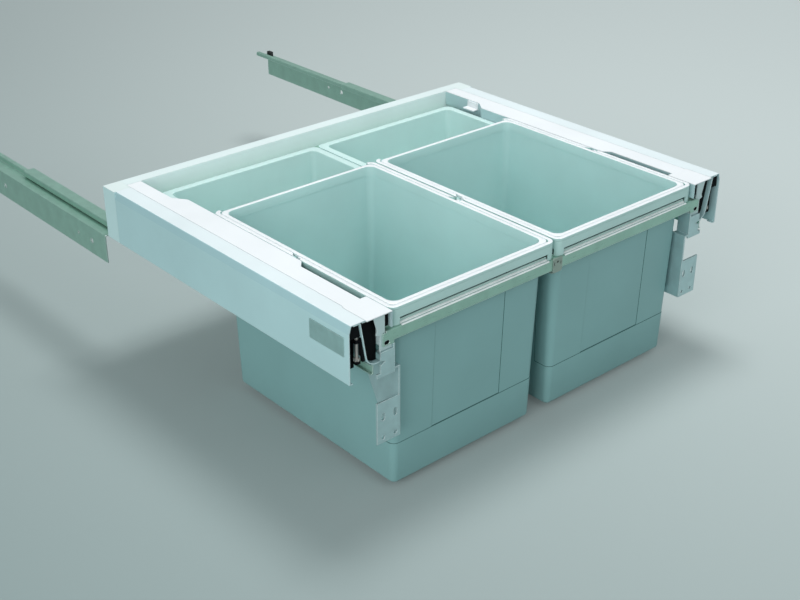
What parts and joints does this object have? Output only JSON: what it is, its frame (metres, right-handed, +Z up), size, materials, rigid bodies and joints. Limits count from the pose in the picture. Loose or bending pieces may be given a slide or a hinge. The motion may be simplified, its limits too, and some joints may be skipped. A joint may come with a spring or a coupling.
{
  "type": "built-in waste bin",
  "caption": "Pull-out waste bin for a base cabinet: a full-extension drawer frame that carries lift-out bins with bag rings and folding handles.",
  "frame": {"origin": "on the cabinet's centre line, in the plane of its front edges, at the height of the screws that hold the cabinet rails", "axes": "+X to the right of the cabinet seen from its front, +Y into the cabinet, the way the drawer closes, +Z up"},
  "size_m": [0.564, 0.899, 0.214],
  "materials": {
    "side_paint": "satin powder coat, pale grey",
    "inner_wall_paint": "satin powder coat, pale grey",
    "frame_paint": "satin powder coat, light grey",
    "bracket_paint": "satin powder coat, pale grey",
    "plate_metal": "satin, mid grey, bare",
    "zinc_steel": "zinc plated, rolled",
    "clip_steel": "zinc plated, satin",
    "bracket_steel": "zinc plated, satin",
    "screw_steel": "zinc plated",
    "pin_steel": "bright drawn",
    "ball_steel": "polished",
    "cage_plastic": "natural",
    "fixing_plastic": "black, moulded",
    "stop_rubber": "moulded",
    "cover_plastic": "fine texture, pale grey",
    "bin_plastic": "fine texture, mid grey",
    "ring_plastic": "smooth, pale grey",
    "handle_plastic": "smooth, pale grey",
    "panel_board": "board faced with pale grey laminate"
  },
  "bodies": {
    "cabinet_rails": {"left_cabinet_rail": "zinc_steel", "left_closing_stop": "stop_rubber", "right_cabinet_rail": "zinc_steel", "right_closing_stop": "stop_rubber"},
    "drawer": {"left_side_profile": "side_paint", "left_inner_wall": "inner_wall_paint", "left_name_plate": "plate_metal", "left_drawer_rail": "zinc_steel", "left_front_fixing": "fixing_plastic", "left_frame_rail": "frame_paint", "left_cover_strip": "cover_plastic", "left_rear_bracket": "bracket_paint", "left_front_bracket": "bracket_steel", "right_side_profile": "side_paint", "right_inner_wall": "inner_wall_paint", "right_name_plate": "plate_metal", "right_drawer_rail": "zinc_steel", "right_front_fixing": "fixing_plastic", "right_frame_rail": "frame_paint", "right_cover_strip": "cover_plastic", "right_rear_bracket": "bracket_paint", "right_front_bracket": "bracket_steel", "front_rail": "zinc_steel", "middle_cross_rail": "zinc_steel", "rear_ledge": "zinc_steel", "centre_bar": "zinc_steel", "centre_clip": "clip_steel", "back_panel": "panel_board", "back_panel_screws": "screw_steel"},
    "left_middle_rail": {"left_middle_rail": "zinc_steel"},
    "left_front_ball_cage": {"left_front_ball_cage": "cage_plastic", "left_front_balls": "ball_steel"},
    "left_rear_ball_cage": {"left_rear_ball_cage": "cage_plastic", "left_rear_balls": "ball_steel"},
    "left_main_bin": {"left_main_bin": "bin_plastic", "left_handle_pins": "pin_steel"},
    "left_bag_ring": {"left_bag_ring": "ring_plastic"},
    "left_handle": {"left_handle": "handle_plastic"},
    "left_rear_bin": {"left_rear_bin": "bin_plastic"},
    "left_height_adjuster": {"left_height_adjuster": "screw_steel"},
    "right_middle_rail": {"right_middle_rail": "zinc_steel"},
    "right_front_ball_cage": {"right_front_ball_cage": "cage_plastic", "right_front_balls": "ball_steel"},
    "right_rear_ball_cage": {"right_rear_ball_cage": "cage_plastic", "right_rear_balls": "ball_steel"},
    "right_main_bin": {"right_main_bin": "bin_plastic", "right_handle_pins": "pin_steel"},
    "right_bag_ring": {"right_bag_ring": "ring_plastic"},
    "right_handle": {"right_handle": "handle_plastic"},
    "right_rear_bin": {"right_rear_bin": "bin_plastic"},
    "right_height_adjuster": {"right_height_adjuster": "screw_steel"}
  },
  "joints": [
    {"name": "drawer_slide", "type": "slide", "parent": "cabinet_rails", "child": "drawer", "axis": [0, 1, 0], "range_m": [0, 0.442]},
    {"name": "left_middle_rail_slide", "type": "slide", "parent": "cabinet_rails", "child": "left_middle_rail", "axis": [0, 1, 0], "range_m": [0, 0.221]},
    {"name": "left_front_ball_cage_slide", "type": "slide", "parent": "cabinet_rails", "child": "left_front_ball_cage", "axis": [0, 1, 0], "range_m": [0, 0.3315]},
    {"name": "left_rear_ball_cage_slide", "type": "slide", "parent": "cabinet_rails", "child": "left_rear_ball_cage", "axis": [0, 1, 0], "range_m": [0, 0.1105]},
    {"name": "left_main_bin_lift", "type": "slide", "parent": "drawer", "child": "left_main_bin", "axis": [0, 0, 1], "range_m": [0, 0.25]},
    {"name": "left_rear_bin_lift", "type": "slide", "parent": "drawer", "child": "left_rear_bin", "axis": [0, 0, 1], "range_m": [0, 0.15]},
    {"name": "left_bag_ring_lift", "type": "slide", "parent": "left_main_bin", "child": "left_bag_ring", "axis": [0, 0, 1], "range_m": [0, 0.04]},
    {"name": "left_handle_hinge", "type": "hinge", "parent": "left_main_bin", "child": "left_handle", "pos_m": [-0.1145, -0.298, 0.076], "axis": [-1, 0, 0], "range_deg": [0, 90]},
    {"name": "left_height_adjuster_turn", "type": "hinge", "parent": "drawer", "child": "left_height_adjuster", "pos_m": [-0.2664, -0.437, 0.052], "axis": [0, 0, 1], "continuous": true},
    {"name": "right_middle_rail_slide", "type": "slide", "parent": "cabinet_rails", "child": "right_middle_rail", "axis": [0, 1, 0], "range_m": [0, 0.221]},
    {"name": "right_front_ball_cage_slide", "type": "slide", "parent": "cabinet_rails", "child": "right_front_ball_cage", "axis": [0, 1, 0], "range_m": [0, 0.3315]},
    {"name": "right_rear_ball_cage_slide", "type": "slide", "parent": "cabinet_rails", "child": "right_rear_ball_cage", "axis": [0, 1, 0], "range_m": [0, 0.1105]},
    {"name": "right_main_bin_lift", "type": "slide", "parent": "drawer", "child": "right_main_bin", "axis": [0, 0, 1], "range_m": [0, 0.25]},
    {"name": "right_rear_bin_lift", "type": "slide", "parent": "drawer", "child": "right_rear_bin", "axis": [0, 0, 1], "range_m": [0, 0.15]},
    {"name": "right_bag_ring_lift", "type": "slide", "parent": "right_main_bin", "child": "right_bag_ring", "axis": [0, 0, 1], "range_m": [0, 0.04]},
    {"name": "right_handle_hinge", "type": "hinge", "parent": "right_main_bin", "child": "right_handle", "pos_m": [0.1145, -0.298, 0.076], "axis": [-1, 0, 0], "range_deg": [0, 90]},
    {"name": "right_height_adjuster_turn", "type": "hinge", "parent": "drawer", "child": "right_height_adjuster", "pos_m": [0.2664, -0.437, 0.052], "axis": [0, 0, 1], "continuous": true}
  ],
  "couplings": [
    {"joint": "left_middle_rail_slide", "follows": "drawer_slide", "ratio": 0.5},
    {"joint": "left_front_ball_cage_slide", "follows": "drawer_slide", "ratio": 0.75},
    {"joint": "left_rear_ball_cage_slide", "follows": "drawer_slide", "ratio": 0.25},
    {"joint": "right_middle_rail_slide", "follows": "drawer_slide", "ratio": 0.5},
    {"joint": "right_front_ball_cage_slide", "follows": "drawer_slide", "ratio": 0.75},
    {"joint": "right_rear_ball_cage_slide", "follows": "drawer_slide", "ratio": 0.25}
  ]
}
